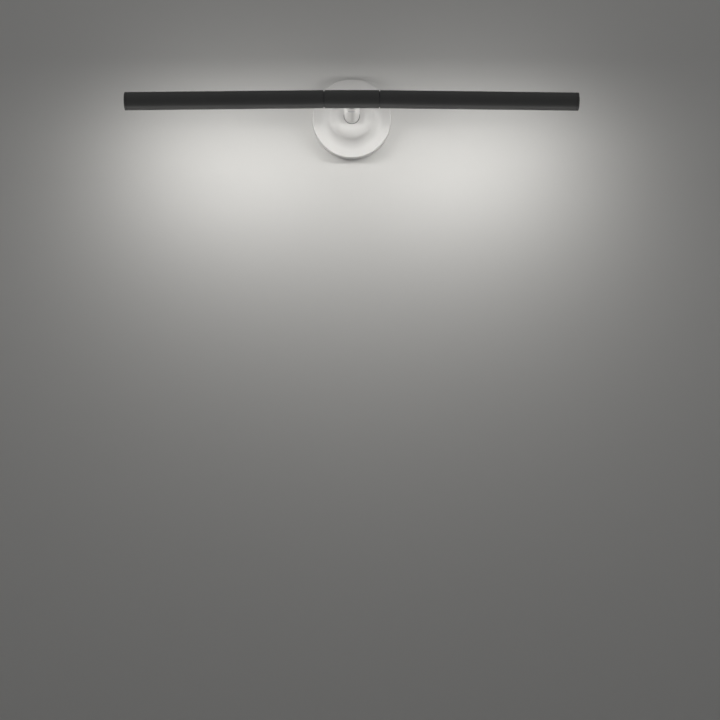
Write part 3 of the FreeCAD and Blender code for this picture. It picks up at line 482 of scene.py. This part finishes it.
# %% Turned rings
def turned_ring(inner, outer, start, end, rounding, steps):
    """A ring between two radii and two distances from the wall, all in millimetres."""
    shape = bmesh.new()
    corners = [(inner, start), (outer, start), (outer, end), (inner, end)]
    points = [shape.verts.new((radius * MM, -depth * MM, 0)) for radius, depth in corners]
    shape.faces.new(points)
    bmesh.ops.bevel(
        shape, geom=points, offset=rounding * MM, offset_type="OFFSET", segments=4, profile=0.5,
        affect="VERTICES", material=-1)
    bmesh.ops.delete(shape, geom=shape.faces[:], context="FACES_ONLY")
    bmesh.ops.spin(
        shape, geom=shape.verts[:] + shape.edges[:], cent=(0, 0, 0), axis=(0, 1, 0), angle=2 * math.pi,
        steps=steps, use_merge=True)
    bmesh.ops.recalc_face_normals(shape, faces=shape.faces)
    return shape


root_ring = turned_ring(inner=8.2, outer=14.05, start=56.0, end=57.2, rounding=0.45, steps=96)
wall_ring = turned_ring(inner=68.1, outer=69.9, start=0.0, end=2.0, rounding=0.6, steps=192)
seal = finish_piece("stem_root_ring", root_ring, "base", "stem_seal", "black_rubber")
gasket = finish_piece("wall_ring", wall_ring, "base", "wall_gasket", "black_rubber")
print("rings", len(seal.data.polygons), len(gasket.data.polygons), "faces")

# %% [markdown]
# ## The lock screw
#
# Under the stem sits the screw that holds the bar level. Its white head is low and ribbed for the fingers,
# and a domed cap of plated steel fills its face. Spin turns screw and cap from their outlines, which are
# lists of radius and height in millimetres. Every other point of the head's rim is then drawn in, which makes
# the ribs.

# %% Outlines of the screw and its cap
LOCK_PLACE = 187.2
LOCK_SEAT = 11.95
HEAD_RADIUS = 7.5
SCREW_OUTLINE = (
    (0, -5.65), (1.8, -5.65), (1.8, -3.75), (2.5, -3.75), (2.5, 0),
    (HEAD_RADIUS, 0), (HEAD_RADIUS, 0.8), (7.2, 1.1), (0, 1.1))
CAP_OUTLINE = ((0, 1.0), (6.9, 1.0), (6.9, 1.3), (5.9, 1.8), (4.4, 2.2), (2.4, 2.43), (0, 2.5))
RIBS = 40
RIB_DEPTH = 0.16
HANGING = Matrix.Translation((0, -LOCK_PLACE * MM, -LOCK_SEAT * MM)) @ Matrix.Rotation(math.pi, 4, "X")


def turned_solid(outline):
    """A bmesh turned about z from an outline that starts and ends on the axis."""
    shape = bmesh.new()
    points = [shape.verts.new((radius * MM, 0, height * MM)) for radius, height in outline]
    edges = [shape.edges.new(pair) for pair in zip(points, points[1:])]
    bmesh.ops.spin(
        shape, geom=points + edges, cent=(0, 0, 0), axis=(0, 0, 1), angle=2 * math.pi, steps=2 * RIBS,
        use_merge=True)
    bmesh.ops.remove_doubles(shape, verts=shape.verts, dist=MERGE)
    bmesh.ops.recalc_face_normals(shape, faces=shape.faces)
    return shape


screw = turned_solid(SCREW_OUTLINE)
cap = turned_solid(CAP_OUTLINE)
print("screw", len(screw.verts), "points, cap", len(cap.verts))

# %% Ribs, and the screw in its place
for point in screw.verts:
    turn = round(math.atan2(point.co.y, point.co.x) * RIBS / math.pi)
    if turn % 2 and point.co.xy.length > (HEAD_RADIUS - RIB_DEPTH) * MM:
        point.co.xy *= 1 - RIB_DEPTH / HEAD_RADIUS
screw_pieces = (("ribbed_lock_screw", screw, "white_paint"), ("lock_screw_cap", cap, "plated_steel"))
for name, shape, slot in screw_pieces:
    bmesh.ops.transform(shape, matrix=HANGING, verts=shape.verts)
    piece = finish_piece(name, shape, "lock_screw", "level_lock_screw", slot)
    even_shading(piece)
    print(name, len(piece.data.polygons), "faces")

# %% [markdown]
# ## The stage
#
# A plain wall stands behind the base and a plain floor lies well below, both pale. Seen from behind or from
# underneath they are clear, so that the back of the base can be looked at too. The wall stands a hair in
# front of the base's back face, which lets light from behind reach it. The floor glows a little, but only for
# the camera and in reflections: Light Path tells those rays from the light that falls on a surface.

# %% Helpers for the stage
STAGE_SIZE = 6.0


def seen_rays(tree):
    """1 for what the camera sees, also in reflections, and 0 for light that falls on a surface."""
    rays = tree.nodes.new("ShaderNodeLightPath").outputs
    mirrored = calculate(tree, "ADD", rays["Is Glossy Ray"], rays["Is Transmission Ray"])
    return calculate(tree, "ADD", rays["Is Camera Ray"], mirrored)


def stage_plane(name, matrix, colour, glow=0.0):
    sheet = bmesh.new()
    bmesh.ops.create_grid(sheet, x_segments=1, y_segments=1, size=STAGE_SIZE, matrix=matrix)
    mesh = bpy.data.meshes.new(name)
    sheet.to_mesh(mesh)
    sheet.free()
    plane = bpy.data.objects.new(name, mesh)
    scene.collection.objects.link(plane)
    material, tree, shader = start_material(name, roughness=0.9, specular=0.1)
    shader.inputs["Base Color"].default_value = colour
    if glow:
        shader.inputs["Emission Color"].default_value = colour
        feed(tree, calculate(tree, "MULTIPLY", seen_rays(tree), glow), shader.inputs["Emission Strength"])
    clear = tree.nodes.new("ShaderNodeBsdfTransparent").outputs[0]
    behind = tree.nodes.new("ShaderNodeNewGeometry").outputs["Backfacing"]
    seen = add_node(tree, "ShaderNodeMixShader", {0: behind, 1: shader.outputs[0], 2: clear}).outputs[0]
    feed(tree, seen, tree.nodes["Material Output"].inputs["Surface"])
    mesh.materials.append(material)
    return plane


print("stage planes reach", STAGE_SIZE, "m each way")

# %% Wall and floor
WALL_PLACE = (0, -0.2 * MM, 0)
WALL_COLOUR = (0.74, 0.735, 0.72, 1)
FLOOR_PLACE = (0, -3.0, -2.0)
FLOOR_COLOUR = (0.75, 0.745, 0.73, 1)
FLOOR_GLOW = 0.3

upright = Matrix.Translation(WALL_PLACE) @ Matrix.Rotation(math.radians(90), 4, "X")
wall = stage_plane("stage_wall", upright, WALL_COLOUR)
floor = stage_plane("stage_floor", Matrix.Translation(FLOOR_PLACE), FLOOR_COLOUR, FLOOR_GLOW)
print("wall and floor face", [tuple(plane.data.polygons[0].normal) for plane in (wall, floor)])

# %% [markdown]
# ## Studio light
#
# A pale room gives an even light from all round, and the camera sees it paler than it shines. Wide lamps at
# the sides, behind and above lift the ends, the back and the top. The spread of the side lamps is narrow,
# which keeps the bright patch off the wall beside them. A low lamp draws the soft bright line along the bar's
# lower edge and fills the underside of the stem.
#
# The sign light is also on: thin strip lamps lie in front of each opal strip, throw most of their light down
# the wall and turn with their heads. That is why the base is brightest at its foot.

# %% Pale room
ROOM_LIGHT = (0.115, 0.1165, 0.119, 1)
ROOM_SEEN = (0.32, 0.32, 0.315, 1)

world = bpy.data.worlds.new("pale_room")
scene.world = world
world.use_nodes = True
room = blend(world.node_tree, seen_rays(world.node_tree), ROOM_LIGHT, ROOM_SEEN)
feed(world.node_tree, room, world.node_tree.nodes["Background"].inputs["Color"])
print("room shines", ROOM_LIGHT[:3], "and is seen as", ROOM_SEEN[:3])

# %% Wide lamps
LAMP_COLOUR = (1.0, 0.99, 0.97)
SIDE_SPREAD = math.radians(60)


def add_lamp(name, size, power, place, target):
    """An area lamp of a size in metres and a power in watts, turned towards a target."""
    lamp = bpy.data.lights.new(name, "AREA")
    lamp.shape = "RECTANGLE"
    lamp.size, lamp.size_y = size
    lamp.energy = power
    lamp.color = LAMP_COLOUR
    holder = bpy.data.objects.new(name, lamp)
    scene.collection.objects.link(holder)
    holder.location = place
    holder.rotation_euler = (Vector(target) - Vector(place)).to_track_quat("-Z", "Y").to_euler()
    holder.visible_camera = False
    return holder


for side in (-1, 1):
    side_light = add_lamp(
        "side_light", size=(2.0, 2.0), power=4, place=(side * 3.0, -0.3, 0.2), target=(0, -0.15, 0))
    side_light.visible_glossy = False
    side_light.data.spread = SIDE_SPREAD
    add_lamp("back_light", size=(1.6, 1.6), power=40, place=(side * 1.4, 2.2, 0.9), target=(0, 0, 0))
top_light = add_lamp("top_light", size=(2.4, 0.6), power=6, place=(0, -0.4, 2.2), target=(0, -0.15, 0))
top_light.visible_glossy = False
add_lamp("edge_light", size=(1.3, 0.62), power=2.2, place=(0, -0.24, -0.58), target=(0, -1.13, -0.13))
print("lamps", [light.name for light in bpy.data.lights])

# %% The light thrown by the two heads
BAR_AXIS = 235 * MM
STRIP_REACH = 17 * MM
HEAD_DROOP = 2 * MM
STRIP_SIZE = (0.32, 12 * MM)
STRIP_MIDDLE = 0.21
# Watts of each strip lamp, by the degrees below level at which it is aimed.
STRIP_POWERS = {60: 0.55, 5: 0.1}

for side, head_body in ((-1, "left_head"), (1, "right_head")):
    for below, power in STRIP_POWERS.items():
        slope = math.radians(below)
        aim = Vector((0, math.cos(slope), -math.sin(slope)))
        place = Vector((side * STRIP_MIDDLE, -BAR_AXIS, -HEAD_DROOP)) + STRIP_REACH * aim
        strip_light = add_lamp("strip_light", STRIP_SIZE, power, place, place + aim)
        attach(strip_light, head_body)
print("strip watts by aim", STRIP_POWERS)
